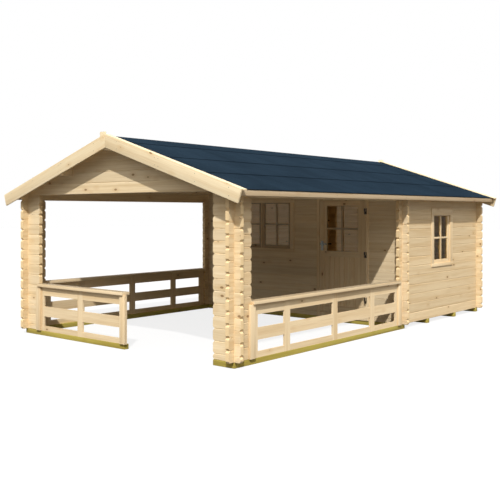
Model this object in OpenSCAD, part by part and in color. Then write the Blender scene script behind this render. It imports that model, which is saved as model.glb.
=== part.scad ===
// Garden house of interlocking logs: open terrace in front, closed cabin behind.
// Millimetres. X is the width, Y runs from the front gable to the back, Z is up.
// The origin is on the ground, in the middle of the plan.

/* [Logs] */
// height of one log course
log_h = 140; // [120:5:160]
// thickness of the logs
log_t = 50; // [40:2:70]
// depth of the bevel along each log joint
bevel = 5; // [3:1:10]
// depth of the chamfers on the log ends
end_cut = 20; // [8:1:24]
// length of log that stands out past a corner
tail = 92; // [70:2:120]
// full courses in a side wall below the top plate
courses = 13; // [12:1:15]
// height of the top plate at the outer face
plate_h = 119; // [110:1:130]

/* [Plan] */
// width over the side walls
wall_w = 3950; // [3700:10:4300]
// length over the front and back walls
wall_l = 6400; // [6000:10:7000]
// depth of the closed cabin
cabin_d = 2662; // [2400:10:3000]
// front corner logs, from the side face inwards
pier_front = 320; // [260:5:420]
// side corner logs, from the front face backwards
pier_side = 292; // [260:5:420]
// side logs in front of the cabin wall
wing = 92; // [80:1:200]

/* [Base] */
// height of the bearers and joists
bearer_h = 66; // [50:1:100]
// width of the bearers
bearer_w = 70; // [60:5:100]
// width of the cabin joists
joist_w = 80; // [60:5:100]
// second joist, from the cabin front
joist_2 = 785; // [700:5:880]
// third joist, from the cabin front
joist_3 = 1724; // [1600:5:1800]
// thickness of the cabin floor
floor_t = 20; // [16:1:28]

/* [Roof] */
// roof slope in degrees
pitch = 18; // [15:0.5:22]
// overhang of the roof past the side walls
eaves = 205; // [150:5:260]
// overhang past the gables
verge = 190; // [150:5:240]
// thickness of the roof boards
deck_t = 20; // [16:1:25]
// thickness of the roofing
felt_t = 6; // [4:1:10]
// step at the lower edge of a roofing course
lap = 3; // [2:0.5:5]
// half width of the roofing strip over the ridge
cap_w = 300; // [200:5:350]
// width of a roofing course
felt_w = 622; // [500:2:700]
// how far the roofing stands out past the eaves board
drip = 4; // [2:1:15]
// width of the ridge purlin
ridge_w = 100; // [80:5:120]
// depth of the ridge purlin
ridge_d = 140; // [115:5:180]
// width of the side purlins
purlin_w = 60; // [50:5:80]
// depth of the side purlins
purlin_d = 130; // [110:5:160]
// side purlins, from the middle
purlin_x = 930; // [800:10:1100]

/* [Roof edges] */
// width of the barge boards
barge_w = 161; // [130:1:180]
// thickness of the barge boards
barge_t = 22; // [18:1:28]
// how far the barge boards run on past the eaves
barge_out = 60; // [20:5:120]
// width of the peak block
peak_w = 95; // [80:5:120]
// height of the peak block over the barge board
peak_h = 30; // [20:2:40]
// width of the cover board beside the barge board
cover_w = 73; // [60:1:90]
// thickness of the cover board
cover_t = 14; // [10:1:20]
// thickness of the eaves boards
eaves_t = 18; // [15:1:24]
// height of the eaves boards
eaves_h = 64; // [40:2:80]

/* [Railings] */
// underside of the handrail over the bearer
rail_top = 612; // [560:2:700]
// height of the top rail
top_rail = 120; // [100:2:140]
// height of the middle rail
rail_h = 138; // [120:2:150]
// height of the lower gap
rail_gap = 132; // [110:2:140]
// height of the bottom rail
rail_low = 70; // [50:5:80]
// width of the stiles
stile_w = 112; // [80:2:130]
// thickness of the railing panels
rail_t = 20; // [16:1:40]
// width of the handrail
hand_w = 128; // [100:1:140]
// how far the handrail stands out past the outer face of the railing
hand_out = 43; // [20:1:50]
// thickness of the handrail
hand_t = 40; // [30:2:50]
// right end of the front railing
free_x = 175; // [0:5:300]
// how far the front handrail and its bearer stop short of that end
end_in = 26; // [0:2:40]
// width of the battens over the ends of the railings
batten_w = 95; // [80:5:110]
// thickness of those battens
batten_t = 25; // [15:1:35]

/* [Door] */
// left edge of the door leaf
door_x = 511; // [450:1:560]
// width of the door leaf
door_w = 841; // [780:1:860]
// underside of the door leaf over the bearer
door_low = 80; // [75:1:100]
// top of the door leaf over the bearer
door_top = 1832; // [1700:1:1840]
// thickness of the door leaf
door_t = 40; // [36:1:44]
// width of the door frame
jamb_w = 44; // [36:1:60]
// how far the door frame stands out of the wall
jamb_out = 15; // [10:1:18]
// gap on the hinge side, over and under the leaf
door_gap = 8; // [7:1:10]
// gap on the handle side
lock_gap = 9; // [8:1:12]
// width of the door glass
door_glass_w = 576; // [480:2:600]
// width of the top rail of the door leaf
door_rail = 81; // [70:1:120]
// height of the door glass
door_glass_h = 712; // [600:2:720]
// radius of the hinge knuckles
pin_r = 7; // [6:0.5:8]

/* [Windows] */
// width of a pane of the front window
front_pane = 510; // [420:5:540]
// width of the pane of the side window
side_pane = 480; // [420:5:540]
// height of a pane
pane_h = 700; // [580:5:840]
// width of the sash timbers
sash_w = 50; // [40:2:54]
// thickness of the sashes
sash_t = 40; // [30:1:40]
// thickness of the lining in the wall
lining = 22; // [18:1:26]
// width of the casing boards
casing_w = 78; // [60:2:110]
// thickness of the casing boards
casing_t = 12; // [8:1:24]
// height of the board over a window
header_h = 112; // [100:1:130]
// from the top of a pane to the underside of that board
header_up = 8; // [4:1:30]
// height of the window sills
sill_h = 52; // [40:2:70]
// how far a sill stands out past the casing
sill_out = 2; // [1:1:20]
// middle of the front window
front_win_x = -690; // [-760:5:-620]
// underside of the front panes over the bearer
front_win_z = 1100; // [1040:5:1110]
// middle of the side window, from the cabin front
side_win_y = 1291; // [1160:1:1410]
// underside of the side pane over the bearer
side_win_z = 896; // [800:1:960]
// thickness of the glass
glass_t = 6; // [4:1:8]

/* [Hidden] */
$fn = 32;
e = 1;
seat = 0.05;
tp = tan(pitch);
cp = cos(pitch);
sp = sin(pitch);
hw = wall_w / 2;
yf = -wall_l / 2;
yb = wall_l / 2;
yp = yb - cabin_d;
z0 = bearer_h;
side_top = courses * log_h;
front_top = (courses + 0.5) * log_h;
plate_top = side_top + plate_h;
xe = hw + eaves;
xb = xe + barge_out;
yd = wall_l / 2 + verge - barge_t;
deck_v = deck_t / cp;
felt_v = felt_t / cp;
lap_v = lap / cp;
cover_v = cover_t / cp;
barge_v = barge_w / cp;
log_end = hw + tail;
door_r = door_x + door_w;
door_glass_low = door_top - door_rail - door_glass_h;
open_l = door_x - lock_gap - jamb_w;
open_r = door_r + door_gap + jamb_w;
pin_x = door_r + door_gap;
leaf_y = yp - 8;
pin_y = leaf_y - 20;
hinge_z = [310, 1001, 1664];
pine = [0.87, 0.74, 0.52];
pale = [0.93, 0.83, 0.64];
olive = [0.45, 0.42, 0.2];
slate = [0.17, 0.24, 0.31];
clear = [0.75, 0.85, 0.9, 0.4];
dark = [0.12, 0.11, 0.1];
steel = [0.7, 0.71, 0.72];

// underside of the roof boards at a distance from the middle
function under(x) = z0 + plate_top + (hw - abs(x)) * tp;
// heights of the log joints between two levels
function joints(a, b, ph) = concat([a],
  [for (k = [0 : 40]) let (z = (k + ph) * log_h) if (z > a + 20 && z < b - 20) z], [b]);
// one edge of a stack of logs at x, cut in by c at each joint
function edge(j, x, c) = c == 0 ? [[x, j[0]], [x, j[len(j) - 1]]] : concat(
  [for (i = [0 : len(j) - 2]) each [[x + c, j[i]], [x, j[i] + abs(c) * 1.2],
    [x, j[i + 1] - abs(c) * 1.2]]], [[x + c, j[len(j) - 1]]]);
// outline of a stack of logs: w wide, its edges cut in by c0 and c1
function stack(a, b, ph, w, c0, c1) = let (j = joints(a, b, ph), r = edge(j, w, -c1)) concat(
  edge(j, 0, c0), [for (i = [len(r) - 1 : -1 : 0]) r[i]]);

// logs along X with the front face at y; c0 and c1 are the chamfers of the two ends
module logs_x(x0, x1, y, a, b, c0 = end_cut, c1 = end_cut) {
  intersection() {
    translate([x0, y, z0]) rotate([90, 0, 90]) linear_extrude(x1 - x0)
      polygon(stack(a, b, 0.5, log_t, bevel, bevel));
    translate([x0, y + log_t + e, z0]) rotate([90, 0, 0]) linear_extrude(log_t + 2 * e)
      polygon(stack(a, b, 0.5, x1 - x0, c0, c1));
  }
}
// logs along Y with the left face at x
module logs_y(y0, y1, x, a, b) {
  intersection() {
    translate([x, y1, z0]) rotate([90, 0, 0]) linear_extrude(y1 - y0)
      polygon(stack(a, b, 0, log_t, bevel, bevel));
    translate([x - e, y0, z0]) rotate([90, 0, 90]) linear_extrude(log_t + 2 * e)
      polygon(stack(a, b, 0, y1 - y0, end_cut, end_cut));
  }
}
// notches of logs along X where a side wall crosses at x
module notch_x(x, y) {
  for (k = [0 : courses + 6])
    translate([x, y - e, z0 + (k + 0.25) * log_h]) cube([log_t, log_t + 2 * e, log_h / 2]);
}
// notches of logs along Y where a front wall crosses at y
module notch_y(x, y) {
  for (k = [0 : courses + 6])
    translate([x - e, y, z0 + (k - 0.25) * log_h]) cube([log_t + 2 * e, log_t, log_h / 2]);
}
// the space under the roof boards
module under_roof() {
  w = log_end + 200;
  translate([0, wall_l, 0]) rotate([90, 0, 0]) linear_extrude(2 * wall_l)
    polygon([[-w, -e], [w, -e], [w, under(w) - seat], [0, under(0) - seat], [-w, under(w) - seat]]);
}
// outline across the roof, extruded from y0 to y1
module along_y(y0, y1, pts) {
  translate([0, y1, 0]) rotate([90, 0, 0]) linear_extrude(y1 - y0) polygon(pts);
}
module ridge_body(y) {
  w = ridge_w / 2;
  along_y(-y, y, [[-w, under(w) - ridge_d], [w, under(w) - ridge_d], [w, under(w) - seat],
    [0, under(0) - seat], [-w, under(w) - seat]]);
}
module side_purlin_body(y) {
  a = purlin_x - purlin_w / 2;
  b = purlin_x + purlin_w / 2;
  along_y(-y, y, [[a, under(b) - purlin_d], [b, under(b) - purlin_d], [b, under(b) - seat],
    [a, under(a) - seat]]);
}
// slots of the purlins in a gable, open at the top
module purlin_holes() {
  w = ridge_w / 2;
  a = purlin_x - purlin_w / 2;
  b = purlin_x + purlin_w / 2;
  top = under(0) + 100;
  along_y(-wall_l, wall_l, [[-w, under(w) - ridge_d], [w, under(w) - ridge_d], [w, top], [-w, top]]);
  for (m = [0, 1]) mirror([m, 0, 0])
    along_y(-wall_l, wall_l, [[a, under(b) - purlin_d], [b, under(b) - purlin_d], [b, top], [a, top]]);
}
module gable(y) {
  difference() {
    intersection() {
      logs_x(-log_end, log_end, y, front_top, front_top + 8 * log_h);
      under_roof();
    }
    notch_x(-hw, y);
    notch_x(hw - log_t, y);
    purlin_holes();
  }
}
module plate(x) {
  difference() {
    intersection() {
      logs_y(yf - tail, yb + tail, x, side_top, side_top + 1.5 * log_h);
      under_roof();
    }
    notch_y(x, yf);
    notch_y(x, yp);
    notch_y(x, yb - log_t);
  }
}
module slope_board(y0, y1, sgn, lift, thick, x0, x1) {
  along_y(y0, y1, [[sgn * x0, under(x0) + lift], [sgn * x1, under(x1) + lift],
    [sgn * x1, under(x1) + lift + thick], [sgn * x0, under(x0) + lift + thick]]);
}
module felt(sgn) {
  end = xe + drip;
  w = concat([0], [for (x = [cap_w : felt_w : end - felt_w / 2]) x], [end]);
  top = [for (i = [0 : len(w) - 2]) each [[sgn * w[i], under(w[i]) + deck_v + felt_v],
    [sgn * w[i + 1], under(w[i + 1]) + deck_v + felt_v + lap_v]]];
  along_y(-yd, yd, concat(top, [[sgn * end, under(end) + deck_v + seat],
    [0, under(0) + deck_v + seat]]));
}
module barge(y, sgn, block) {
  up = deck_v + felt_v + lap_v + cover_v;
  low = up - barge_v;
  xl = xb - barge_w * sp;
  pts = [[0, under(0) + low], [sgn * xl, under(xl) + low], [sgn * xb, under(xb) + up], [0, under(0) + up]];
  union() {
    along_y(y, y + barge_t, pts);
    if (block) along_y(y, y + barge_t, [[0, under(0) + up - 60], [sgn * peak_w, under(0) + up - 60],
      [sgn * peak_w, under(0) + up + peak_h], [0, under(0) + up + peak_h]]);
  }
}
// a railing panel: length along X, outer face at y 0
module panel(len, stiles) {
  low = rail_low + rail_gap + rail_h;
  cuts = concat([0], stiles, [len - stile_w]);
  translate([0, rail_t, 0]) rotate([90, 0, 0]) linear_extrude(rail_t) difference() {
    square([len, rail_top]);
    for (i = [0 : len(cuts) - 2]) {
      w = cuts[i + 1] - cuts[i] - stile_w;
      translate([cuts[i] + stile_w, rail_low]) square([w, rail_gap]);
      translate([cuts[i] + stile_w, low]) square([w, rail_top - top_rail - low]);
    }
  }
}
// size of a window of n sashes: width of a pane, and half the width over the sashes
function pane_w(n) = n > 1 ? front_pane : side_pane;
function win_half(n) = (n * (pane_w(n) + 2 * sash_w) + (n - 1) * 10) / 2;
// left edge of pane i, from the middle of the window
function pane_x(n, i) = -win_half(n) + sash_w + i * (pane_w(n) + 2 * sash_w + 10);
// a window at the origin: middle at x 0, wall face at y 0, panes from z 0
module win_hole(n) {
  w = win_half(n) + lining;
  translate([-w, -e, -sash_w - lining]) cube([2 * w, log_t + 2 * e, pane_h + 2 * (sash_w + lining)]);
}
module win_frame(n) {
  w = win_half(n);
  h = pane_h + 2 * sash_w;
  difference() {
    translate([-w - lining, 0, -sash_w - lining]) cube([2 * (w + lining), log_t, h + 2 * lining]);
    translate([-w, -e, -sash_w]) cube([2 * w, log_t + 2 * e, h]);
  }
  translate([-w - casing_w, -casing_t, -sash_w]) cube([casing_w, casing_t, pane_h + sash_w + header_up]);
  translate([w, -casing_t, -sash_w]) cube([casing_w, casing_t, pane_h + sash_w + header_up]);
  translate([-w - casing_w, -casing_t, pane_h + header_up]) cube([2 * (w + casing_w), casing_t, header_h]);
  translate([-w - casing_w, -casing_t - sill_out, -sash_w - sill_h])
    cube([2 * (w + casing_w), casing_t + sill_out, sill_h]);
  if (n > 1) translate([-5, 0, -sash_w]) cube([10, log_t, h]);
}
module win_sash(n) {
  for (i = [0 : n - 1]) translate([pane_x(n, i), log_t - sash_t, 0]) difference() {
    translate([-sash_w, 0, -sash_w]) cube([pane_w(n) + 2 * sash_w, sash_t, pane_h + 2 * sash_w]);
    translate([0, -e, 0]) cube([pane_w(n), sash_t + 2 * e, pane_h]);
  }
}
module win_glass(n) {
  for (i = [0 : n - 1]) translate([pane_x(n, i), log_t - sash_t / 2 - glass_t / 2, 0])
    cube([pane_w(n), glass_t, pane_h]);
}
module at_front() { translate([front_win_x, yp, z0 + front_win_z]) children(); }
module at_side() { translate([hw, yp + side_win_y, z0 + side_win_z]) rotate([0, 0, 90]) children(); }

module front_bearers() color(olive) {
  translate([-hw, yf, 0]) cube([hw + free_x - end_in, bearer_w, bearer_h]);
  translate([hw - pier_front, yf, 0]) cube([pier_front, bearer_w, bearer_h]);
}
module side_bearers() color(olive) {
  for (x = [-hw, hw - bearer_w])
    translate([x, yf + bearer_w, 0]) cube([bearer_w, yp - yf - bearer_w, bearer_h]);
}
module cabin_joists() color(olive)
  for (y = [0, joist_2, joist_3, cabin_d - joist_w - 10])
    translate([-hw, yp + y, 0]) cube([wall_w, joist_w, bearer_h]);
module cabin_floor() color(pine)
  translate([-hw + log_t + 5, yp + log_t + 5, z0])
    cube([wall_w - 2 * log_t - 10, cabin_d - 2 * log_t - 10, floor_t]);
module left_pier_front() color(pine) difference() {
  logs_x(-log_end, -hw + pier_front, yf, 0, front_top);
  notch_x(-hw, yf);
}
module right_pier_front() color(pine) difference() {
  logs_x(hw - pier_front, log_end, yf, 0, front_top);
  notch_x(hw - log_t, yf);
}
module left_pier_side() color(pine) difference() {
  logs_y(yf - tail, yf + pier_side, -hw, 0, side_top);
  notch_y(-hw, yf);
}
module right_pier_side() color(pine) difference() {
  logs_y(yf - tail, yf + pier_side, hw - log_t, 0, side_top);
  notch_y(hw - log_t, yf);
}
module front_gable() color(pine) gable(yf);
module left_plate() color(pine) plate(-hw);
module right_plate() color(pine) plate(hw - log_t);
module cabin_front_left() color(pine) difference() {
  logs_x(-log_end, open_l, yp, 0, front_top, c1 = 0);
  notch_x(-hw, yp);
  at_front() win_hole(2);
}
module cabin_front_right() color(pine) difference() {
  logs_x(open_r, log_end, yp, 0, front_top, c0 = 0);
  notch_x(hw - log_t, yp);
}
module cabin_front_gable() color(pine) difference() {
  gable(yp);
  at_front() win_hole(2);
}
module cabin_left_wall() color(pine) difference() {
  logs_y(yp - wing, yb + tail, -hw, 0, side_top);
  notch_y(-hw, yp);
  notch_y(-hw, yb - log_t);
}
module cabin_right_wall() color(pine) difference() {
  logs_y(yp - wing, yb + tail, hw - log_t, 0, side_top);
  notch_y(hw - log_t, yp);
  notch_y(hw - log_t, yb - log_t);
  at_side() win_hole(1);
}
module back_wall() color(pine) difference() {
  intersection() {
    logs_x(-log_end, log_end, yb - log_t, 0, front_top + 8 * log_h);
    under_roof();
  }
  notch_x(-hw, yb - log_t);
  notch_x(hw - log_t, yb - log_t);
  purlin_holes();
}
module ridge_purlin() color(pale) ridge_body(yd);
module side_purlins() color(pale) {
  side_purlin_body(yd);
  mirror([1, 0, 0]) side_purlin_body(yd);
}
module roof_deck_left() color(pale) slope_board(-yd, yd, -1, 0, deck_v, 0, xe - eaves_t);
module roof_deck_right() color(pale) slope_board(-yd, yd, 1, 0, deck_v, 0, xe - eaves_t);
module roofing_left() color(slate) felt(-1);
module roofing_right() color(slate) felt(1);
module barge_front_left() color(pale) barge(-yd - barge_t, -1, true);
module barge_front_right() color(pale) barge(-yd - barge_t, 1, false);
module barge_back_left() color(pale) barge(yd, -1, true);
module barge_back_right() color(pale) barge(yd, 1, false);
module verge_covers() color(pale)
  for (s = [-1, 1]) {
    slope_board(-yd, -yd + cover_w, s, deck_v + felt_v + lap_v + seat, cover_v - seat, 1, xb);
    slope_board(yd - cover_w, yd, s, deck_v + felt_v + lap_v + seat, cover_v - seat, 1, xb);
  }
module eaves_boards() color(pale)
  for (s = [-1, 1]) {
    a = xe - eaves_t;
    along_y(-yd, yd, [[s * a, under(xe) + deck_v - eaves_h], [s * xe, under(xe) + deck_v - eaves_h],
      [s * xe, under(xe) + deck_v - seat], [s * a, under(a) + deck_v - seat]]);
  }
module front_railing() color(pale) {
  x0 = -hw + pier_front;
  n = free_x - x0;
  translate([x0, yf, z0]) panel(n, [(n - stile_w) / 2]);
}
module side_panel() {
  n = yp - wing - yf - pier_side;
  panel(n, [for (share = [0.1985, 0.5025, 0.777]) n * share - stile_w / 2]);
}
module left_railing() color(pale)
  translate([-hw + rail_t, yf + pier_side, z0]) rotate([0, 0, 90]) side_panel();
module right_railing() color(pale)
  translate([hw, yf + pier_side, z0]) rotate([0, 0, 90]) side_panel();
module handrails() color(pale) {
  n = yp - wing - yf - pier_side;
  translate([-hw - hand_out, yf + pier_side, z0 + rail_top]) cube([hand_w, n, hand_t]);
  translate([hw + hand_out - hand_w, yf + pier_side, z0 + rail_top]) cube([hand_w, n, hand_t]);
  translate([-hw + pier_front, yf - hand_out, z0 + rail_top])
    cube([hw - pier_front + free_x - end_in, hand_w, hand_t]);
}
module free_post() color(pale)
  translate([free_x - batten_w, yf - batten_t, z0]) cube([batten_w, batten_t, rail_top]);
// battens over the joints of the railings with the logs
module railing_battens() color(pale) {
  translate([-hw + pier_front - batten_w / 2, yf - batten_t, z0]) cube([batten_w, batten_t, rail_top]);
  for (x = [-hw - batten_t, hw], y = [yf + pier_side, yp - wing])
    translate([x, y - batten_w / 2, z0]) cube([batten_t, batten_w, rail_top]);
}
module front_window_frame() color(pale) at_front() win_frame(2);
module front_window_sashes() color(pale) at_front() win_sash(2);
module side_window_frame() color(pale) at_side() win_frame(1);
module side_window_sash() color(pale) at_side() win_sash(1);
module window_glass() color(clear) {
  at_front() win_glass(2);
  at_side() win_glass(1);
}
module door_frame() color(pale) {
  d = log_t + jamb_out;
  difference() {
    translate([open_l, yp - jamb_out, z0]) cube([open_r - open_l, d, front_top]);
    translate([open_l + jamb_w, yp - jamb_out - e, z0 + door_low - door_gap])
      cube([open_r - open_l - 2 * jamb_w, d + 2 * e, door_top - door_low + 2 * door_gap]);
  }
  for (x = [open_l + jamb_w, open_r - jamb_w - 16])
    translate([x, leaf_y + door_t + 6, z0 + door_low - door_gap])
      cube([16, yp + log_t - leaf_y - door_t - 6, door_top - door_low + 2 * door_gap]);
}
module hinge_plates() color(dark)
  for (z = hinge_z) translate([pin_x, 0, z0 + z]) {
    translate([9, yp - jamb_out - 3, -45]) cube([12, 3, 90]);
    translate([9, pin_y - 3, -45]) cube([6, yp - jamb_out - pin_y + 3, 44]);
    translate([0, pin_y - 3, -45]) cube([15, 6, 44]);
    translate([0, pin_y, -45]) cylinder(r = pin_r, h = 44);
    translate([0, pin_y, -45]) cylinder(r = pin_r / 2, h = 88);
  }
module door_leaf() color(pale) difference() {
  translate([door_x, leaf_y, z0 + door_low]) cube([door_w, door_t, door_top - door_low]);
  translate([door_x + (door_w - door_glass_w) / 2, leaf_y - e, z0 + door_glass_low])
    cube([door_glass_w, door_t + 2 * e, door_glass_h]);
}
module door_glass() color(clear)
  translate([door_x + (door_w - door_glass_w) / 2, leaf_y + door_t / 2 - glass_t / 2, z0 + door_glass_low])
    cube([door_glass_w, glass_t, door_glass_h]);
module handle() {
  translate([door_x + 32, -6, z0 + 1047]) cube([40, 6, 150]);
  translate([door_x + 52, -5, z0 + 1150]) rotate([90, 0, 0]) cylinder(r = 9, h = 40);
  translate([door_x + 44, -53, z0 + 1141]) cube([120, 10, 18]);
}
module door_handles() color(steel) {
  translate([0, leaf_y, 0]) handle();
  translate([0, leaf_y + door_t, 0]) mirror([0, 1, 0]) handle();
}
module door_hinges() color(dark)
  for (z = hinge_z) translate([0, 0, z0 + z]) {
    translate([door_r - 18, leaf_y - 3, -45]) cube([18, 3, 90]);
    translate([door_r - 10, pin_y - 3, 0]) cube([10, leaf_y - pin_y + 3, 45]);
    difference() {
      union() {
        translate([pin_x, pin_y, 0]) cylinder(r = pin_r, h = 45);
        translate([door_r - 10, pin_y - 3, 0]) cube([pin_x - door_r + 10, 6, 45]);
      }
      translate([pin_x, pin_y, -e]) cylinder(r = pin_r / 2 + 0.05, h = 45 + 2 * e);
    }
  }

front_bearers();
side_bearers();
cabin_joists();
cabin_floor();
left_pier_front();
left_pier_side();
right_pier_front();
right_pier_side();
front_gable();
left_plate();
right_plate();
cabin_front_left();
cabin_front_right();
cabin_front_gable();
cabin_left_wall();
cabin_right_wall();
back_wall();
ridge_purlin();
side_purlins();
roof_deck_left();
roof_deck_right();
roofing_left();
roofing_right();
barge_front_left();
barge_front_right();
barge_back_left();
barge_back_right();
verge_covers();
eaves_boards();
front_railing();
left_railing();
right_railing();
handrails();
free_post();
railing_battens();
front_window_frame();
front_window_sashes();
side_window_frame();
side_window_sash();
window_glass();
door_frame();
hinge_plates();
door_leaf();
door_glass();
door_handles();
door_hinges();
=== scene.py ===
# %% [markdown]
# # A garden house of interlocking logs
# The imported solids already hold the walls, the roof and the railings at their real size.
# This lesson dresses them: pine with its grain and knots, mineral roofing, treated bearers,
# glass, and the small timbers and fixings that a solid model leaves out.
# Everything is in metres, with the terrace towards -Y and the ground at z = 0.

# %% Load the frame
import math
import random

import bmesh
import bpy
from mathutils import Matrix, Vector


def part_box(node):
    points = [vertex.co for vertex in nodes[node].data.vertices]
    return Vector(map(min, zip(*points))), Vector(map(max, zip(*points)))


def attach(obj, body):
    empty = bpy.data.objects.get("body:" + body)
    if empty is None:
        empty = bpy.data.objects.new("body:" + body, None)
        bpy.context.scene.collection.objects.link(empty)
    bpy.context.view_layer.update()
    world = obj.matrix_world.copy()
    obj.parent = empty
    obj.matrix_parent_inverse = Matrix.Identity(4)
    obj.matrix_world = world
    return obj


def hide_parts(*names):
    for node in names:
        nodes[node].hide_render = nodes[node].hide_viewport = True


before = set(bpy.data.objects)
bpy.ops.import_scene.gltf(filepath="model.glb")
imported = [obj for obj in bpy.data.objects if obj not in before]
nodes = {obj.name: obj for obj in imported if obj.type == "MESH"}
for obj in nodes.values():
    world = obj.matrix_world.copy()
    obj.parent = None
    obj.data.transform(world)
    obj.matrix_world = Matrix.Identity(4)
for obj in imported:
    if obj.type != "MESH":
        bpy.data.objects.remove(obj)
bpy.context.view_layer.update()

# %% [markdown]
# ## The sizes that the pieces share
# A carpenter measures this house from the log courses and from the roof line, so the same few
# numbers are kept here. `under(x)` is the underside of the roof boards at a distance x from the
# middle, as in the solid model.

# %% Shared sizes
LOG_H, LOG_T, BASE = 0.140, 0.050, 0.066
HALF_W, FRONT, CABIN = 1.975, -3.200, 0.538
PITCH = math.radians(18)
SLOPE = math.tan(PITCH)
DECK_V = 0.020 / math.cos(PITCH)
EAVES_X, EAVES_T, ROOF_END = 2.180, 0.018, 3.368
WALL_TOP = 1.939  # where the roof boards cross the face of the side walls, above the base


def under(x):
    return BASE + WALL_TOP + (HALF_W - abs(x)) * SLOPE


print("ridge", round(under(0), 3), "eaves", round(under(EAVES_X), 3))

# %% [markdown]
# ## The camera
# The picture is taken at eye height from the right of the terrace, with the camera held level.
# A level camera keeps the posts upright; the horizon then lies above the middle of the picture,
# and a small downward shift of the lens brings it there without tilting.

# %% Camera
TURN = math.radians(40.07)
lens = bpy.data.cameras.new("photo_view")
lens.lens, lens.sensor_width = 55.09, 36.0
lens.shift_y = -0.0755
lens.clip_end = 200
camera = bpy.data.objects.new("photo_view", lens)
camera.location = (7.503, -9.505, 1.651 + BASE)
camera.rotation_euler = (math.radians(90), 0, TURN)
bpy.context.scene.collection.objects.link(camera)
bpy.context.scene.camera = camera
print("camera at", tuple(round(c, 2) for c in camera.location))

# %% [markdown]
# ## A helper for node trees
# Materials are trees of small nodes. Placing and linking each node by hand takes several lines,
# so this helper adds a node, sets its inputs and returns the socket that the next node needs.

# %% Node helper
class Graph:
    def __init__(self, tree):
        self.tree = tree

    def node(self, kind, values=(), out=0, **props):
        made = self.tree.nodes.new(kind)
        for key, value in props.items():
            setattr(made, key, value)
        for key, value in dict(values).items():
            if isinstance(value, bpy.types.NodeSocket):
                self.tree.links.new(value, made.inputs[key])
            else:
                made.inputs[key].default_value = value
        return made.outputs[out] if len(made.outputs) else made

    def math(self, op, a, b=0.0):
        return self.node("ShaderNodeMath", {0: a, 1: b}, operation=op)

    def ramp(self, value, low, high, to_low=0.0, to_high=1.0):
        return self.node("ShaderNodeMapRange", {"Value": value, "From Min": low, "From Max": high,
                         "To Min": to_low, "To Max": to_high}, interpolation_type="SMOOTHSTEP")

    def mix(self, factor, a, b, blend="MIX"):
        return self.node("ShaderNodeMix", {0: factor, 6: a, 7: b}, out=2, data_type="RGBA",
                         blend_type=blend)

    def noise(self, vector, scale, detail=2.0):
        return self.node("ShaderNodeTexNoise", {"Vector": vector, "Scale": scale, "Detail": detail,
                         "Roughness": 0.55})

    def stretch(self, vector, scale):
        return self.node("ShaderNodeMapping", {"Vector": vector, "Scale": scale})

    def split(self, vector):
        return self.node("ShaderNodeSeparateXYZ", {0: vector}).node.outputs

    def join(self, x, y, z):
        return self.node("ShaderNodeCombineXYZ", {0: x, 1: y, 2: z})

    def chance(self, number):
        return self.node("ShaderNodeTexWhiteNoise", {"W": number}, noise_dimensions="1D")


def rgb(r, g, b):
    return (r, g, b, 1.0)


def new_material(name):
    made = bpy.data.materials.new(name)
    made.use_nodes = True
    return made, Graph(made.node_tree), made.node_tree.nodes["Principled BSDF"]


print("node helper ready")

# %% [markdown]
# ## Light, sky and floor
# One sun from the front right, with slightly soft edges, gives the lit triangle on the gable and
# the dark eaves. The sky that fills the shadows is a plain dome, dimmer towards the horizon, so
# little of it reaches deep under the roof, and brighter on the sun's side, so the walls that face
# away from it stay darker. To the camera, and in glass and metal, the sky and the floor are white;
# the floor still mixes in some of its own shading, so the house keeps its shadow on the ground.

# %% Sun and sky
SUN_WAY = Vector((-0.79, 1.0, -1.38)).normalized()
BRIGHT_EAST, BRIGHT_NORTH = 0.85, -0.53
SKY_LOW, SKY_HIGH = 0.20, 0.46
sun = bpy.data.lights.new("sun", "SUN")
sun.energy, sun.angle, sun.color = 3.48, math.radians(1.2), (1.0, 0.985, 0.955)
sun_lamp = bpy.data.objects.new("sun", sun)
sun_lamp.rotation_mode = "QUATERNION"
sun_lamp.rotation_quaternion = SUN_WAY.to_track_quat("-Z", "Y")
bpy.context.scene.collection.objects.link(sun_lamp)


def seen(g):
    """1 where the camera, gloss or glass looks, and 0 where light reaches the house."""
    path = g.tree.nodes.new("ShaderNodeLightPath").outputs
    both = g.math("MAXIMUM", path["Is Glossy Ray"], path["Is Transmission Ray"])
    return g.math("MAXIMUM", path["Is Camera Ray"], both)


world = bpy.data.worlds.new("plain_sky")
bpy.context.scene.world = world
world.use_nodes = True
g = Graph(world.node_tree)
sky = world.node_tree.nodes["Background"]
east, north, upward = g.split(g.tree.nodes.new("ShaderNodeTexCoord").outputs["Generated"])
rim, zenith = rgb(0.050, 0.048, 0.046), rgb(1.02, 0.995, 0.96)
dome = g.mix(g.ramp(upward, SKY_LOW, SKY_HIGH), rim, zenith)
sunward = g.math("ADD", g.math("MULTIPLY", east, BRIGHT_EAST),
                 g.math("MULTIPLY", north, BRIGHT_NORTH))
side = g.ramp(sunward, -0.7, 0.7, 0.68, 1.28)
dome = g.mix(1.0, dome, g.join(side, side, side), "MULTIPLY")
world.node_tree.links.new(g.mix(seen(g), dome, rgb(1, 1, 1)), sky.inputs["Color"])
bpy.context.scene.view_settings.view_transform = "Standard"
print("sun way", tuple(round(c, 2) for c in SUN_WAY))

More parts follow.
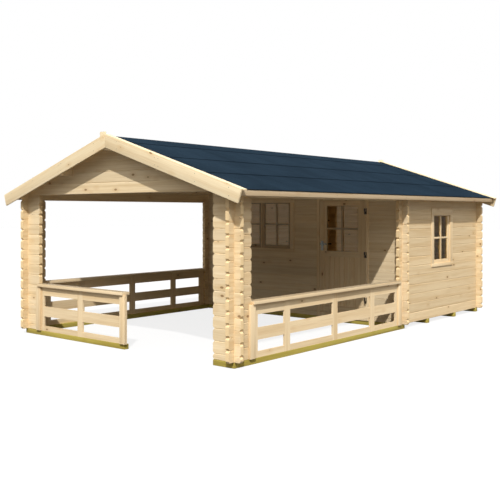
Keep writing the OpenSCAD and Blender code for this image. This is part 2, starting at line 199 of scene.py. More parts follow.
# %% Floor
FAR, SHADOW = 60, 0.18
ground = bpy.data.meshes.new("floor")
ground.from_pydata([(-FAR, -FAR, 0), (FAR, -FAR, 0), (FAR, FAR, 0), (-FAR, FAR, 0)], [],
                   [(0, 1, 2, 3)])
floor = bpy.data.objects.new("floor", ground)
bpy.context.scene.collection.objects.link(floor)
paint = bpy.data.materials.new("pale_floor")
paint.use_nodes = True
paint.node_tree.nodes.clear()
g = Graph(paint.node_tree)
bounce = g.node("ShaderNodeBsdfDiffuse", {"Color": rgb(0.135, 0.131, 0.125)})
shade = g.node("ShaderNodeBsdfDiffuse", {"Color": rgb(0.85, 0.85, 0.85)})
white = g.node("ShaderNodeEmission", {"Color": rgb(1, 1, 1), "Strength": 1.0})
shown = g.node("ShaderNodeMixShader", {0: SHADOW, 1: white, 2: shade})
g.node("ShaderNodeOutputMaterial",
       {"Surface": g.node("ShaderNodeMixShader", {0: seen(g), 1: bounce, 2: shown})})
ground.materials.append(paint)
print("floor", floor.name)

# %% [markdown]
# ## Pine
# Planed pine is cream with honey-coloured bands along the grain, fine lines between them and a
# brown knot now and then. A painted image would need a picture file; stretched noise does the
# same at any size. `pine` takes a place in metres as (along the grain, across, depth) and a
# chance number that is different for each board, so no two boards are alike.

# %% Pine figure
KNOT = 0.085


def deepen(colour, r, g, b):
    return rgb(colour[0] * r, colour[1] * g, colour[2] * b)


def pine(g, place, seed, light, dark, crowd=1.0):
    """The colour, relief and fine lines of pine at that place; `crowd` sets the knots closer."""
    knots = KNOT * crowd
    apart = g.join(g.math("MULTIPLY", seed, 37.0), g.math("MULTIPLY", seed, 11.0),
                   g.math("MULTIPLY", seed, 23.0))
    here = g.node("ShaderNodeVectorMath", {0: place, 1: apart}, operation="ADD")
    bands = g.noise(g.stretch(here, (0.55, 17, 17)), 1.0, 3.0)
    lines = g.noise(g.stretch(here, (2.5, 130, 130)), 1.0, 2.0)
    cells = g.node("ShaderNodeTexVoronoi", {"Vector": g.stretch(here, (2.6, 5.2, 5.2)),
                   "Scale": crowd})
    knot = g.ramp(cells, knots, knots * 0.62)
    halo = g.ramp(cells, knots * 3.2, knots)
    colour = g.mix(g.ramp(bands, 0.36, 0.70), light, dark)
    for share, deep in ((g.math("MULTIPLY", g.ramp(lines, 0.42, 0.75), 0.30), (0.72, 0.66, 0.56)),
                        (g.math("MULTIPLY", halo, 0.32), (0.86, 0.75, 0.60)),
                        (g.math("MULTIPLY", knot, 0.85), (0.34, 0.24, 0.17))):
        colour = g.mix(share, colour, deepen(dark, *deep))
    tone = g.ramp(seed, 0.0, 1.0, 0.93, 1.05)
    colour = g.mix(1.0, colour, g.join(tone, tone, tone), "MULTIPLY")
    return colour, g.math("SUBTRACT", lines, g.math("MULTIPLY", knot, 0.5)), lines


def finish_pine(g, shader, colour, relief, lines):
    links = g.tree.links
    shader.inputs["Specular IOR Level"].default_value = 0.2
    links.new(colour, shader.inputs["Base Color"])
    links.new(g.ramp(lines, 0.3, 0.7, 0.54, 0.68), shader.inputs["Roughness"])
    links.new(g.node("ShaderNodeBump", {"Height": relief, "Strength": 0.25, "Distance": 0.002}),
              shader.inputs["Normal"])


SIDE_LOG = rgb(0.80, 0.633, 0.398), rgb(0.705, 0.517, 0.291)
FRONT_LOG = rgb(0.87, 0.71, 0.472), rgb(0.76, 0.585, 0.346)
# a slightly darker copy of the front logs: painted shade for the cabin walls under the terrace roof
TERRACE_SHADE_LOG = rgb(0.82, 0.675, 0.460), rgb(0.72, 0.565, 0.350)
print("pine ready")

# %% [markdown]
# ## Logs
# Each wall is one solid, but it reads as a stack of logs, so the material finds the log from the
# height: front and back logs start half a course higher than the side logs. Sawn ends show rings
# instead of long grain, and they are found by the direction that the face looks in.

# %% Log finish
RING_TURN = 0.06


def log_finish(name, along_x, light, dark, crowd=1.0):
    made, g, shader = new_material(name)
    spot = g.tree.nodes.new("ShaderNodeTexCoord").outputs
    x, y, z = g.split(spot["Object"])
    nx, ny, _ = g.split(spot["Normal"])
    first = BASE + (LOG_H / 2 if along_x else 0.0)
    course = g.math("DIVIDE", g.math("SUBTRACT", z, first), LOG_H)
    number = g.math("FLOOR", course)
    wall = g.math("FLOOR", g.math("MULTIPLY", y if along_x else x, 0.6))
    seed = g.chance(g.math("ADD", number, g.math("MULTIPLY", wall, 19.0)))
    place = g.join(x, z, y) if along_x else g.join(y, z, x)
    colour, relief, lines = pine(g, place, seed, light, dark, crowd)
    height = g.math("MULTIPLY", g.math("SUBTRACT", g.math("SUBTRACT", course, number), 0.5), LOG_H)
    depth = g.math("ADD", y if along_x else x, g.math("MULTIPLY", seed, RING_TURN))
    heart = g.join(height, g.math("PINGPONG", depth, RING_TURN), 0.0)
    ring = g.node("ShaderNodeTexWave", {"Vector": heart, "Scale": 70.0, "Distortion": 2.5,
                  "Detail": 1.0}, wave_type="RINGS", rings_direction="Z", out=1)
    sawn = g.mix(g.math("MULTIPLY", ring, 0.45), rgb(0.88, 0.675, 0.39), rgb(0.70, 0.48, 0.245))
    end = g.ramp(g.math("ABSOLUTE", nx if along_x else ny), 0.55, 0.75)
    finish_pine(g, shader, g.mix(end, colour, sawn), relief, lines)
    return made


logs_x = log_finish("logs_front_back", True, *FRONT_LOG, crowd=1.5)
logs_terrace_shade = log_finish("logs_terrace_shade", True, *TERRACE_SHADE_LOG)
logs_y = log_finish("logs_sides", False, *SIDE_LOG)


def dress(names, material):
    for name in names:
        nodes[name].data.materials.clear()
        nodes[name].data.materials.append(material)
    print(material.name, "on", len(names), "nodes")


dress(["left_pier_front", "right_pier_front", "front_gable", "back_wall"], logs_x)
# the cabin walls under the roof take the painted-shade copy of the logs
dress(["cabin_front_left", "cabin_front_right", "cabin_front_gable"], logs_terrace_shade)
dress(["left_pier_side", "right_pier_side", "left_plate", "right_plate", "cabin_left_wall",
       "cabin_right_wall"], logs_y)

# %% [markdown]
# ## Boards and timbers
# Planed boards have slightly eased edges that catch the light, which sharp solids lack. A copy of
# each board's solid is merged and bevelled, and each separate board stores two attributes: `grain`,
# its own coordinates with the grain along its length, and `board`, a chance number. The same
# material then suits a level rail, an upright post and a sloping barge board.

# %% Board finishes
def board_finish(name, light, dark, top=1.0):
    """Pine boards; `top` dims the faces that look up, a painted shade on the tops of the rails."""
    made, g, shader = new_material(name)
    place = g.node("ShaderNodeAttribute", out=1, attribute_name="grain")
    seed = g.node("ShaderNodeAttribute", out=2, attribute_name="board")
    colour, relief, lines = pine(g, place, seed, light, dark)
    up = g.split(g.tree.nodes.new("ShaderNodeTexCoord").outputs["Normal"])[2]
    # painted shade: the faces that look up are darkened by the factor `top`
    level = g.ramp(up, 0.4, 0.9, 1.0, top)
    colour = g.mix(1.0, colour, g.join(level, level, level), "MULTIPLY")
    finish_pine(g, shader, colour, relief, lines)
    return made


boards = board_finish("planed_boards", rgb(0.855, 0.685, 0.445), rgb(0.765, 0.575, 0.338))
barge_boards = board_finish("barge_boards", rgb(0.94, 0.79, 0.535), rgb(0.855, 0.67, 0.41))
# the handrails get painted shade on their tops, which then look darker than their lit edges
handrail_boards = board_finish("handrail_boards", rgb(0.87, 0.70, 0.465),
                               rgb(0.78, 0.59, 0.355), top=0.55)
eaves_boards = board_finish("eaves_boards", rgb(0.58, 0.45, 0.29), rgb(0.50, 0.36, 0.21))
olive = board_finish("treated_timber", rgb(0.50, 0.405, 0.088), rgb(0.37, 0.29, 0.058))
# a darker copy of the planed boards: painted shade for the recessed sashes and glazing bars under
# the terrace roof
painted_shade_boards = board_finish("painted_shade_boards", rgb(0.52, 0.40, 0.25), rgb(0.44, 0.32, 0.18))
print(boards.name, barge_boards.name, handrail_boards.name, eaves_boards.name, olive.name,
      painted_shade_boards.name)

# %% Board maker
SHARP, SMOOTH = 0.3, math.radians(32)
THIN_EASE, FINE_EASE, EASE = 0.002, 0.0025, 0.003
chance = random.Random(7)


def islands(bm):
    """The separate boards of a mesh, as lists of vertices, in the order that they were made."""
    reached, found = set(), []
    for first in bm.verts:
        if first in reached:
            continue
        reached.add(first)
        queue, group = [first], []
        while queue:
            v = queue.pop()
            group.append(v)
            for e in v.link_edges:
                o = e.other_vert(v)
                if o not in reached:
                    reached.add(o)
                    queue.append(o)
        found.append(group)
    return found


def long_axis(group, hint):
    """The way that the grain runs, and two ways across it."""
    low = [min(v.co[i] for v in group) for i in range(3)]
    high = [max(v.co[i] for v in group) for i in range(3)]
    size = [h - l for l, h in zip(low, high)]
    along = Vector((0, 0, 0))
    along[size.index(max(size))] = 1.0
    if hint == "slope":
        sign = 1 if low[0] + high[0] > 0 else -1
        along = Vector((sign * math.cos(PITCH), 0, -math.sin(PITCH)))
    other = Vector((0, 1, 0)) if abs(along.y) < 0.5 else Vector((0, 0, 1))
    across = along.cross(other).normalized()
    return along, across, along.cross(across)


def finish_boards(bm, name, ease, material, body="house", hint="", stands_for=()):
    """Eases the edges, stores the grain of each board and makes the riding object."""
    if ease:
        sharp = [e for e in bm.edges if len(e.link_faces) == 2 and e.calc_face_angle(0) > SHARP]
        bmesh.ops.bevel(bm, geom=sharp, offset=ease, segments=2, profile=0.6, affect="EDGES",
                        clamp_overlap=True)
    grain = bm.verts.layers.float_vector.new("grain")
    board = bm.verts.layers.float.new("board")
    for group in islands(bm):
        along, across, deep = long_axis(group, hint)
        number = chance.random()
        for v in group:
            v[grain] = Vector((v.co.dot(along), v.co.dot(across), v.co.dot(deep)))
            v[board] = number
    mesh = bpy.data.meshes.new(name)
    bm.to_mesh(mesh)
    bm.free()
    return settle(mesh, name, material, body, stands_for)


def settle(mesh, name, material, body="house", stands_for=()):
    mesh.materials.clear()
    mesh.materials.append(material)
    mesh.polygons.foreach_set("use_smooth", [True] * len(mesh.polygons))
    mesh.set_sharp_from_angle(angle=SMOOTH)
    piece = bpy.data.objects.new(name, mesh)
    bpy.context.scene.collection.objects.link(piece)
    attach(piece, body)
    if stands_for:
        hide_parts(*stands_for)
    print(name, len(mesh.polygons), "faces")
    return piece


def merged(name):
    """A merged copy of a solid, with its flat faces whole again."""
    bm = bmesh.new()
    bm.from_mesh(nodes[name].data)
    bmesh.ops.remove_doubles(bm, verts=bm.verts, dist=1e-5)
    bmesh.ops.dissolve_limit(bm, angle_limit=0.01, verts=bm.verts, edges=bm.edges)
    return bm


for name in ("barge_front_left", "barge_front_right", "barge_back_left", "barge_back_right",
             "verge_covers"):
    finish_boards(merged(name), name + "_eased", FINE_EASE, barge_boards, hint="slope",
                  stands_for=[name])
for name, finish in (("eaves_boards", eaves_boards), ("handrails", handrail_boards),
                     ("free_post", boards), ("railing_battens", boards), ("ridge_purlin", boards),
                     ("side_purlins", boards), ("door_frame", boards)):
    finish_boards(merged(name), name + "_eased", EASE, finish, stands_for=[name])
for name in ("front_bearers", "side_bearers", "cabin_joists"):
    finish_boards(merged(name), name + "_eased", EASE, olive, stands_for=[name])

# %% [markdown]
# ## Railings
# The railing panels are stiles with three rails let in between them. In the solid model a panel is
# one piece; here each timber is made by itself, so that the grain turns at every joint and a fine
# line shows where two timbers meet.

# %% Railing timbers
BOX_FACES = ((0, 1, 3, 2), (4, 6, 7, 5), (0, 4, 5, 1), (2, 3, 7, 6), (0, 2, 6, 4), (1, 5, 7, 3))
PANEL_H, PANEL_STILE, RAIL_INSET = 0.612, 0.112, 0.001
PANEL_RAILS = ((0.0, 0.070), (0.202, 0.340), (0.492, PANEL_H))
FRONT_MARKS, SIDE_MARKS = (0.5,), (0.1985, 0.5025, 0.777)


def add_box(bm, low, high):
    corners = [bm.verts.new((x, y, z)) for x in (low[0], high[0]) for y in (low[1], high[1])
               for z in (low[2], high[2])]
    for face in BOX_FACES:
        bm.faces.new([corners[i] for i in face])


def railing(name, along_x, marks):
    """A panel whose middle stiles stand at `marks`, as shares of its length."""
    low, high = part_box(name)
    span = high[0] - low[0] if along_x else high[1] - low[1]
    start = low[0] if along_x else low[1]
    posts = [0.0] + [span * m - PANEL_STILE / 2 for m in marks] + [span - PANEL_STILE]
    bm = bmesh.new()

    def timber(a, b, z0, z1, inset):
        a, b = start + a, start + b
        if along_x:
            add_box(bm, (a, low[1] + inset, low[2] + z0), (b, high[1] - inset, low[2] + z1))
        else:
            add_box(bm, (low[0] + inset, a, low[2] + z0), (high[0] - inset, b, low[2] + z1))

    for p in posts:
        timber(p, p + PANEL_STILE, 0.0, PANEL_H, 0.0)
    for a, b in zip(posts, posts[1:]):
        for z0, z1 in PANEL_RAILS:
            timber(a + PANEL_STILE, b, z0, z1, RAIL_INSET)
    return finish_boards(bm, name + "_timbers", THIN_EASE, boards, stands_for=[name])


railing("front_railing", True, FRONT_MARKS)
railing("left_railing", False, SIDE_MARKS)
railing("right_railing", False, SIDE_MARKS)

# %% [markdown]
# ## Windows
# Each window is a lining in the wall, casing boards over the joint, a header, a sill, and sashes
# with a cross of glazing bars. All are straight timbers, so they are listed as boxes in the
# window's own coordinates (across, into the wall, up) and turned to the wall that they stand in.

# %% Window timbers
PANE_H, SASH, SASH_T, LINING = 0.700, 0.050, 0.040, 0.022
CASING, CASING_T, HEADER, HEADER_UP = 0.078, 0.012, 0.112, 0.008
SILL, SILL_OUT, MULLION = 0.052, 0.002, 0.010
FRONT_WIN = (-0.690, BASE + 1.100)
SIDE_WIN = (CABIN + 1.291, BASE + 0.896)
WINDOW_BAR, DOOR_BAR, BEAD = 0.014, 0.015, 0.006
UPRIGHT_T, CROSS_T, SIDE_BEAD_T, END_BEAD_T = 0.017, 0.015, 0.013, 0.0125


def half_width(count, pane):
    return (count * (pane + 2 * SASH) + (count - 1) * MULLION) / 2


def glazing(left, right, low, high, pane_y, bar):
    """A cross of bars over a pane, each `bar` wide to either side, and beads along its edges."""
    middle, level = (left + right) / 2, (low + high) / 2
    boxes = [((middle - bar, pane_y - UPRIGHT_T, low), (middle + bar, pane_y + UPRIGHT_T, high)),
             ((left, pane_y - CROSS_T, level - bar), (right, pane_y + CROSS_T, level + bar))]
    for a, b in ((left, left + BEAD), (right - BEAD, right)):
        boxes.append(((a, pane_y - SIDE_BEAD_T, low), (b, pane_y + SIDE_BEAD_T, high)))
    for a, b in ((low, low + BEAD), (high - BEAD, high)):
        boxes.append(((left, pane_y - END_BEAD_T, a), (right, pane_y + END_BEAD_T, b)))
    return boxes


def window_boxes(count, pane):
    half = half_width(count, pane)
    tall, out = PANE_H + 2 * SASH, half + CASING
    frame_list = [
        ((-half - LINING, 0, -SASH - LINING), (-half, LOG_T, PANE_H + SASH + LINING)),
        ((half, 0, -SASH - LINING), (half + LINING, LOG_T, PANE_H + SASH + LINING)),
        ((-half, 0, PANE_H + SASH), (half, LOG_T, PANE_H + SASH + LINING)),
        ((-half, 0, -SASH - LINING), (half, LOG_T, -SASH)),
        ((-out, -CASING_T, -SASH), (-half, 0, PANE_H + HEADER_UP)),
        ((half, -CASING_T, -SASH), (out, 0, PANE_H + HEADER_UP)),
        ((-out, -CASING_T, PANE_H + HEADER_UP), (out, 0, PANE_H + HEADER_UP + HEADER)),
        ((-out, -CASING_T - SILL_OUT, -SASH - SILL), (out, 0, -SASH))]
    if count > 1:
        frame_list.append(((-MULLION / 2, 0, -SASH), (MULLION / 2, LOG_T, -SASH + tall)))
    sashes, bars = [], []
    for i in range(count):
        left = -half + SASH + i * (pane + 2 * SASH + MULLION)
        right, y0, y1 = left + pane, LOG_T - SASH_T, LOG_T
        sashes += [((left - SASH, y0, -SASH), (left, y1, PANE_H + SASH)),
                   ((right, y0, -SASH), (right + SASH, y1, PANE_H + SASH)),
                   ((left, y0, -SASH), (right, y1, 0)),
                   ((left, y0, PANE_H), (right, y1, PANE_H + SASH))]
        bars += glazing(left, right, 0, PANE_H, (y0 + y1) / 2, WINDOW_BAR)
    return frame_list, sashes, bars


def at_front(p):
    return (FRONT_WIN[0] + p[0], CABIN + p[1], FRONT_WIN[1] + p[2])


def at_side(p):
    return (HALF_W - p[1], SIDE_WIN[0] + p[0], SIDE_WIN[1] + p[2])


def set_window(boxes, turn, name, ease, material, stands_for=()):
    bm = bmesh.new()
    for low, high in boxes:
        a, b = turn(low), turn(high)
        add_box(bm, [min(p) for p in zip(a, b)], [max(p) for p in zip(a, b)])
    bmesh.ops.recalc_face_normals(bm, faces=bm.faces)
    return finish_boards(bm, name, ease, material, stands_for=stands_for)


FRONT_PANES, SIDE_PANES = (2, 0.510), (1, 0.480)
# the front window under the roof takes the painted-shade boards for its sashes and bars
for panes, turn, where, sash_node, finish in (
        (FRONT_PANES, at_front, "front_window", "front_window_sashes", painted_shade_boards),
        (SIDE_PANES, at_side, "side_window", "side_window_sash", boards)):
    frame_list, sashes, bars = window_boxes(*panes)
    set_window(frame_list, turn, where + "_casing", EASE, boards, [where + "_frame"])
    set_window(sashes, turn, where + "_sash_timbers", EASE, finish, [sash_node])
    set_window(bars, turn, where + "_bars", FINE_EASE, finish)

# %% [markdown]
# ## Planks that repeat
# Roof boards, floor boards and the door's planks are one plank repeated at an even step, which is
# what Geometry Nodes are for. The plank itself comes in as geometry; the tree sets copies along a
# line, gives each a chance number for the pine, joins them and sets the finish.

# %% Plank tree
def plank_tree():
    tree = bpy.data.node_groups.new("plank_run", "GeometryNodeTree")
    tree.interface.new_socket("Plank", in_out="INPUT", socket_type="NodeSocketGeometry")
    for label, kind in (("Planks", "NodeSocketInt"), ("Step", "NodeSocketVector"),
                        ("Seed", "NodeSocketInt"), ("Finish", "NodeSocketMaterial")):
        tree.interface.new_socket(label, in_out="INPUT", socket_type=kind)
    tree.interface.new_socket("Run", in_out="OUTPUT", socket_type="NodeSocketGeometry")
    g = Graph(tree)
    given = tree.nodes.new("NodeGroupInput").outputs
    line = g.node("GeometryNodeMeshLine", {"Count": given["Planks"], "Offset": given["Step"]})
    copies = g.node("GeometryNodeInstanceOnPoints", {"Points": line, "Instance": given["Plank"]})
    number = g.node("FunctionNodeRandomValue", {"Seed": given["Seed"]}, out=1, data_type="FLOAT")
    named = g.node("GeometryNodeStoreNamedAttribute", {"Geometry": copies, "Name": "board",
                   "Value": number}, data_type="FLOAT", domain="INSTANCE")
    real = g.node("GeometryNodeRealizeInstances", {"Geometry": named})
    done = g.node("GeometryNodeSetMaterial", {"Geometry": real, "Material": given["Finish"]})
    g.node("NodeGroupOutput", {"Run": done})
    return tree


PLANK_RUN = plank_tree()


def plain_mesh(source, tree, values):
    """Runs a tree on an object and returns the result as a plain mesh."""
    run = source.modifiers.new("run", "NODES")
    run.node_group = tree
    for item in tree.interface.items_tree:
        if item.in_out == "INPUT" and item.name in values:
            run[item.identifier] = values[item.name]
    depsgraph = bpy.context.evaluated_depsgraph_get()
    mesh = bpy.data.meshes.new_from_object(source.evaluated_get(depsgraph), depsgraph=depsgraph,
                                           preserve_all_data_layers=True)
    source.modifiers.remove(run)
    bpy.data.objects.remove(source)
    return mesh


def plank_run(name, outline, sweep, count, step, seed, material, body="house", stands_for=(),
              along=0):
    """One plank is an outline swept between two ends, its grain on axis `along`, and repeated."""
    bm = bmesh.new()
    ends = [[bm.verts.new(sweep(p, end)) for p in outline] for end in (0, 1)]
    n = len(outline)
    for i in range(n):
        bm.faces.new((ends[0][i], ends[0][(i + 1) % n], ends[1][(i + 1) % n], ends[1][i]))
    bm.faces.new(ends[0][::-1])
    bm.faces.new(ends[1])
    bmesh.ops.recalc_face_normals(bm, faces=bm.faces)
    grain = bm.verts.layers.float_vector.new("grain")
    for v in bm.verts:
        c = v.co
        v[grain] = Vector(((c.x, c.y, c.z), (c.y, c.x, c.z), (c.z, c.x, c.y))[along])
    mesh = bpy.data.meshes.new(name + "_plank")
    bm.to_mesh(mesh)
    bm.free()
    source = bpy.data.objects.new(name + "_plank", mesh)
    bpy.context.scene.collection.objects.link(source)
    values = {"Planks": count, "Step": step, "Seed": seed, "Finish": material}
    return settle(plain_mesh(source, PLANK_RUN, values), name, material, body, stands_for)


# %% Roof boards and cabin floor
ROOF_PLANKS, VEE = 70, 0.0045
wide = 2 * ROOF_END / ROOF_PLANKS
outline = [(VEE, 0), (wide - VEE, 0), (wide, VEE), (wide, DECK_V), (0, DECK_V), (0, VEE)]
for side, sign, seed in (("left", -1, 3), ("right", 1, 4)):
    def sweep(p, end, sign=sign):
        x = 0.0 if end == 0 else EAVES_X - EAVES_T
        return (sign * x, -ROOF_END + p[0], under(x) + p[1])

    plank_run(f"roof_boards_{side}", outline, sweep, ROOF_PLANKS, (0, wide, 0), seed, boards,
              stands_for=[f"roof_deck_{side}"])

low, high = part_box("cabin_floor")
FLOOR_PLANKS, FLOOR_T = 41, 0.020
wide = (high[0] - low[0]) / FLOOR_PLANKS
outline = [(0, 0), (wide, 0), (wide, FLOOR_T - EASE), (wide - EASE, FLOOR_T), (EASE, FLOOR_T),
           (0, FLOOR_T - EASE)]
plank_run("floor_boards", outline,
          lambda p, end: (low[0] + p[0], (low, high)[end][1], low[2] + p[1]),
          FLOOR_PLANKS, (wide, 0, 0), 11, boards, stands_for=["cabin_floor"], along=1)

# %% [markdown]
# ## The door
# The leaf is framed: two stiles, three rails, a glazed field with a cross of bars above, and
# upright grooved planks below. The solid leaf is one slab with a hole, so it is replaced by these
# timbers, all of which ride on the door's own body and swing with it.

# %% Door timbers
low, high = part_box("door_leaf")
glass_low, glass_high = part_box("door_glass")
STILE, FOOT_RAIL, SET_BACK = 0.095, 0.110, 0.005
y0, y1 = low[1], high[1]
inner_l, inner_r = low[0] + STILE, high[0] - STILE
RAIL_LOW = BASE + 0.955
timbers = [
    ((low[0], y0, low[2]), (inner_l, y1, high[2])),
    ((inner_r, y0, low[2]), (high[0], y1, high[2])),
    ((inner_l, y0, glass_high[2]), (inner_r, y1, high[2])),
    ((inner_l, y0, RAIL_LOW), (inner_r, y1, glass_low[2])),
    ((inner_l, y0, low[2]), (inner_r, y1, low[2] + FOOT_RAIL)),
    ((inner_l, y0 + SET_BACK, glass_low[2]), (glass_low[0], y1 - SET_BACK, glass_high[2])),
    ((glass_high[0], y0 + SET_BACK, glass_low[2]), (inner_r, y1 - SET_BACK, glass_high[2]))]
bm = bmesh.new()
for a, b in timbers:
    add_box(bm, a, b)
finish_boards(bm, "door_timbers", EASE, boards, "door", stands_for=["door_leaf"])
bm = bmesh.new()
for a, b in glazing(glass_low[0], glass_high[0], glass_low[2], glass_high[2], (y0 + y1) / 2,
                    DOOR_BAR):
    add_box(bm, a, b)
# the door's glazing bars take the painted-shade boards
finish_boards(bm, "door_bars", FINE_EASE, painted_shade_boards, "door")

# %% Door planks
DOOR_PLANKS, PLANK_BACK = 7, 0.009
GROOVE, DEEP = 0.006, 0.008
wide = (inner_r - inner_l) / DOOR_PLANKS
face, back = y0 + PLANK_BACK, y1 - PLANK_BACK
outline = [(GROOVE, face), (wide - GROOVE, face), (wide - GROOVE, face + DEEP),
           (wide, face + DEEP), (wide, back - DEEP), (wide - GROOVE, back - DEEP),
           (wide - GROOVE, back), (GROOVE, back), (GROOVE, back - DEEP),
           (0, back - DEEP), (0, face + DEEP), (GROOVE, face + DEEP)]
plank_run("door_planks", outline,
          lambda p, end: (inner_l + p[0], p[1], (low[2] + FOOT_RAIL, RAIL_LOW)[end]),
          DOOR_PLANKS, (wide, 0, 0), 5, boards, "door", along=2)

# %% [markdown]
# ## Roofing
# The roof is covered with mineral roofing in wide level courses, dark blue-grey, each lapped over
# the next below, with one strip over the ridge. Up close it is small stone granules; from a
# distance one sees a slightly different tone in each course and faint streaks down the slope, and
# below each lap a darker line, a painted shadow where the lap's step shades the course. The solid
# has the steps, so only its finish is made here.

# %% Roofing finish
roofing, g, shader = new_material("mineral_roofing")
spot = g.tree.nodes.new("ShaderNodeTexCoord").outputs
x, y, _ = g.split(spot["Object"])
down = g.math("ABSOLUTE", x)
LAPS = (0.300, 0.922, 1.544, EAVES_X + 0.004)
course, lap_shadow = 0.0, 0.0
# painted shadow: a dark band just below each lap edge, where the step would shade the course
for edge in LAPS:
    course = g.math("ADD", course, g.math("GREATER_THAN", down, edge))
    past = g.math("SUBTRACT", down, edge)
    line = g.math("MULTIPLY", g.ramp(past, -0.012, 0.002), g.ramp(past, 0.050, 0.006))
    lap_shadow = g.math("MAXIMUM", lap_shadow, line)
side = g.math("SIGN", x)
tone = g.chance(g.math("ADD", course, g.math("MULTIPLY", side, 9.0)))
granule = g.noise(spot["Object"], 260.0, 3.0)
cloud = g.noise(spot["Object"], 1.7, 3.0)
run = g.join(g.math("MULTIPLY", down, 0.5), g.math("MULTIPLY", y, 7.0), tone)
streak = g.noise(run, 1.0, 3.0)
stone, chip = rgb(0.0088, 0.0176, 0.0288), rgb(0.0240, 0.0415, 0.0625)
colour = g.mix(g.ramp(granule, 0.30, 0.72), stone, chip)
level = g.math("ADD", g.ramp(cloud, 0.3, 0.7, 0.88, 1.06), g.ramp(streak, 0.3, 0.7, -0.07, 0.07))
level = g.math("ADD", level, g.ramp(tone, 0.0, 1.0, -0.04, 0.05))
# the painted lap shadow darkens the roofing by up to about a third
level = g.math("MULTIPLY", level, g.ramp(lap_shadow, 0.0, 1.0, 1.0, 0.62))
colour = g.mix(1.0, colour, g.join(level, level, level), "MULTIPLY")
g.tree.links.new(colour, shader.inputs["Base Color"])
g.tree.links.new(g.ramp(granule, 0.3, 0.7, 0.78, 0.92), shader.inputs["Roughness"])
shader.inputs["Specular IOR Level"].default_value = 0.0
g.tree.links.new(g.node("ShaderNodeBump", {"Height": granule, "Strength": 0.6, "Distance": 0.002}),
                 shader.inputs["Normal"])
dress(["roofing_left", "roofing_right"], roofing)

# %% [markdown]
# ## Glass and metal
# The panes are clear sheets; their warm tint and the warm tint of what they mirror are painted
# light, standing for the sunlit pine seen through and around them. Hinges are dark coated steel and
# the handles satin steel with fine brush lines. The solid holds all panes in one node, so it is
# parted here: the panes under the roof mirror more than the one in the sun.

# %% Glass, steel and dark metal
def glass_finish(name, ior, sheen, tint):
    made, g, shader = new_material(name)
    spot = g.tree.nodes.new("ShaderNodeTexCoord").outputs
    shader.inputs["Transmission Weight"].default_value = 1.0
    shader.inputs["IOR"].default_value = ior
    shader.inputs["Specular Tint"].default_value = sheen
    deeper = deepen(tint, 0.96, 0.96, 0.96)
    g.tree.links.new(g.mix(g.noise(spot["Object"], 3.0), deeper, tint),
                     shader.inputs["Base Color"])
    g.tree.links.new(g.ramp(g.noise(spot["Object"], 9.0), 0.3, 0.8, 0.0, 0.03),
                     shader.inputs["Roughness"])
    return made


# the warm tint and warm sheen are painted light for the sunlit wood seen in the glass
terrace_glass = glass_finish("terrace_glass", 1.48, rgb(1.0, 0.82, 0.58), rgb(1.0, 0.80, 0.52))
side_glass = glass_finish("side_glass", 1.10, rgb(1.0, 0.92, 0.80), rgb(0.96, 0.78, 0.44))
dress(["door_glass"], terrace_glass)
PARTING = 1.5  # x between the front panes and the side pane
for name, side, material in (("front_panes", -1, terrace_glass), ("side_pane", 1, side_glass)):
    bm = merged("window_glass")
    far = [v for v in bm.verts if (v.co.x - PARTING) * side < 0]
    bmesh.ops.delete(bm, geom=far, context="VERTS")
    mesh = bpy.data.meshes.new(name)
    bm.to_mesh(mesh)
    bm.free()
    settle(mesh, name, material, stands_for=["window_glass"])

steel, g, shader = new_material("satin_steel")
spot = g.tree.nodes.new("ShaderNodeTexCoord").outputs
brush = g.noise(g.stretch(spot["Object"], (900, 900, 30)), 1.0, 2.0)
shader.inputs["Metallic"].default_value = 1.0
g.tree.links.new(g.mix(brush, rgb(0.105, 0.110, 0.100), rgb(0.165, 0.170, 0.155)),
                 shader.inputs["Base Color"])
g.tree.links.new(g.ramp(brush, 0.3, 0.7, 0.38, 0.55), shader.inputs["Roughness"])
dress(["door_handles"], steel)

dark, g, shader = new_material("dark_coated_steel")
spot = g.tree.nodes.new("ShaderNodeTexCoord").outputs
mottle = g.noise(spot["Object"], 180.0, 3.0)
shader.inputs["Metallic"].default_value = 0.3
g.tree.links.new(g.mix(mottle, rgb(0.022, 0.014, 0.006), rgb(0.058, 0.039, 0.017)),
                 shader.inputs["Base Color"])
g.tree.links.new(g.ramp(mottle, 0.3, 0.7, 0.42, 0.6), shader.inputs["Roughness"])
dress(["hinge_plates", "door_hinges"], dark)

# %% [markdown]
# ## Fixings
# Nails hold the barge boards, the cover boards, the eaves boards and the casings, and screws the
# handrails. One small head is set on a cloud of points by Geometry Nodes; each point stores `aim`,
# the way that its head looks.

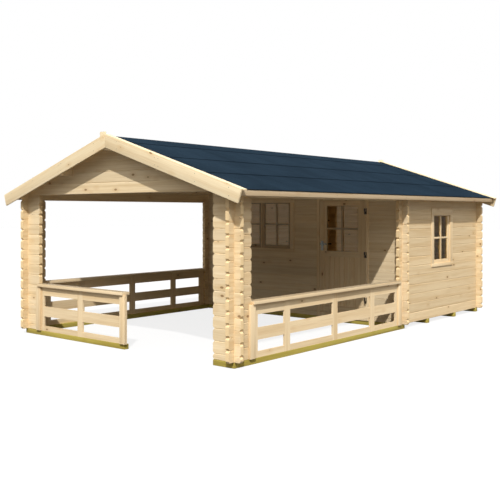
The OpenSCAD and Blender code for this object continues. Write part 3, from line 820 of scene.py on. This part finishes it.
# %% Fixing tree
def fixing_tree():
    tree = bpy.data.node_groups.new("fixing_heads", "GeometryNodeTree")
    tree.interface.new_socket("Points", in_out="INPUT", socket_type="NodeSocketGeometry")
    for label, kind in (("Radius", "NodeSocketFloat"), ("Height", "NodeSocketFloat"),
                        ("Seed", "NodeSocketInt"), ("Finish", "NodeSocketMaterial")):
        tree.interface.new_socket(label, in_out="INPUT", socket_type=kind)
    tree.interface.new_socket("Heads", in_out="OUTPUT", socket_type="NodeSocketGeometry")
    g = Graph(tree)
    given = tree.nodes.new("NodeGroupInput").outputs
    top = g.math("MULTIPLY", given["Radius"], 0.62)
    head = g.node("GeometryNodeMeshCone", {"Vertices": 10, "Side Segments": 1, "Radius Top": top,
                  "Radius Bottom": given["Radius"], "Depth": given["Height"]})
    aim = g.node("GeometryNodeInputNamedAttribute", {"Name": "aim"}, data_type="FLOAT_VECTOR")
    turn = g.node("FunctionNodeAlignRotationToVector", {"Vector": aim}, axis="Z")
    size = g.node("FunctionNodeRandomValue", {2: 0.9, 3: 1.1, "Seed": given["Seed"]}, out=1,
                  data_type="FLOAT")
    heads = g.node("GeometryNodeInstanceOnPoints", {"Points": given["Points"], "Instance": head,
                   "Rotation": turn, "Scale": g.join(size, size, 1.0)})
    real = g.node("GeometryNodeRealizeInstances", {"Geometry": heads})
    done = g.node("GeometryNodeSetMaterial", {"Geometry": real, "Material": given["Finish"]})
    g.node("NodeGroupOutput", {"Heads": done})
    return tree


FIXING_HEADS = fixing_tree()


def set_fixings(name, spots, radius, height, seed, material, body="house"):
    mesh = bpy.data.meshes.new(name + "_points")
    mesh.from_pydata([tuple(p) for p, aim in spots], [], [])
    aims = mesh.attributes.new("aim", "FLOAT_VECTOR", "POINT")
    for i, (p, aim) in enumerate(spots):
        aims.data[i].vector = aim
    source = bpy.data.objects.new(name + "_points", mesh)
    bpy.context.scene.collection.objects.link(source)
    values = {"Radius": radius, "Height": height, "Seed": seed, "Finish": material}
    return settle(plain_mesh(source, FIXING_HEADS, values), name, material, body)


# %% Nails and screws of the house
ROOFING_T, LAP_T, COVER_T = 0.006, 0.003, 0.014
COVER_TOP = (ROOFING_T + LAP_T + COVER_T) / math.cos(PITCH) + DECK_V
BARGE_V, BARGE_T, BARGE_PAIR = 0.161 / math.cos(PITCH), 0.022, 0.045
BARGE_NAILS = (0.22, 0.90, 0.96, 1.55, 2.06)
COVER_NAILS, COVER_FIRST, COVER_STEP, COVER_IN = 6, 0.15, 0.39, 0.036
EAVES_NAILS, EAVES_FIRST, EAVES_STEP, EAVES_MID = 12, -3.25, 0.59, 0.032
nails = []
for sign in (-1, 1):
    for x in BARGE_NAILS:
        for off in (-BARGE_PAIR, BARGE_PAIR):
            z = under(x) + COVER_TOP - BARGE_V / 2 + off
            nails += [((sign * x, end * (ROOF_END + BARGE_T), z), (0, end, 0)) for end in (-1, 1)]
    for i in range(COVER_NAILS):
        x = COVER_FIRST + i * COVER_STEP
        for y in (-ROOF_END + COVER_IN, ROOF_END - COVER_IN):
            nails.append(((sign * x, y, under(x) + COVER_TOP),
                          (sign * math.sin(PITCH), 0, math.cos(PITCH))))
    for i in range(EAVES_NAILS):
        nails.append(((sign * EAVES_X, EAVES_FIRST + i * EAVES_STEP,
                       under(EAVES_X) + DECK_V - EAVES_MID), (sign, 0, 0)))
CASING_NAILS = (0.02, 0.32, 0.62, PANE_H + 0.06, PANE_H + 0.12)
for turn, panes, out in ((at_front, FRONT_PANES, (0, -1, 0)), (at_side, SIDE_PANES, (1, 0, 0))):
    for sign in (-1, 1):
        for z in CASING_NAILS:
            across = sign * (half_width(*panes) + CASING / 2)
            nails.append((turn((across, -CASING_T, z)), out))
set_fixings("nail_heads", nails, 0.0042, 0.0014, 21, steel)

HANDRAIL_TOP, HANDRAIL_MID = BASE + 0.652, 0.010
FRONT_SCREWS = (-1.60, -1.15, -0.81, -0.40, 0.02, 0.11)
SIDE_SCREWS = (0.012,) + SIDE_MARKS + (0.988,)
SIDE_START, SIDE_SPAN = FRONT + 0.292, 3.354
screws = []
for x in FRONT_SCREWS:
    screws.append(((x, FRONT + HANDRAIL_MID, HANDRAIL_TOP), (0, 0, 1)))
for x in (-HALF_W + HANDRAIL_MID, HALF_W - HANDRAIL_MID):
    for share in SIDE_SCREWS:
        screws.append(((x, SIDE_START + share * SIDE_SPAN, HANDRAIL_TOP), (0, 0, 1)))
set_fixings("handrail_screws", screws, 0.0048, 0.0010, 22, steel)
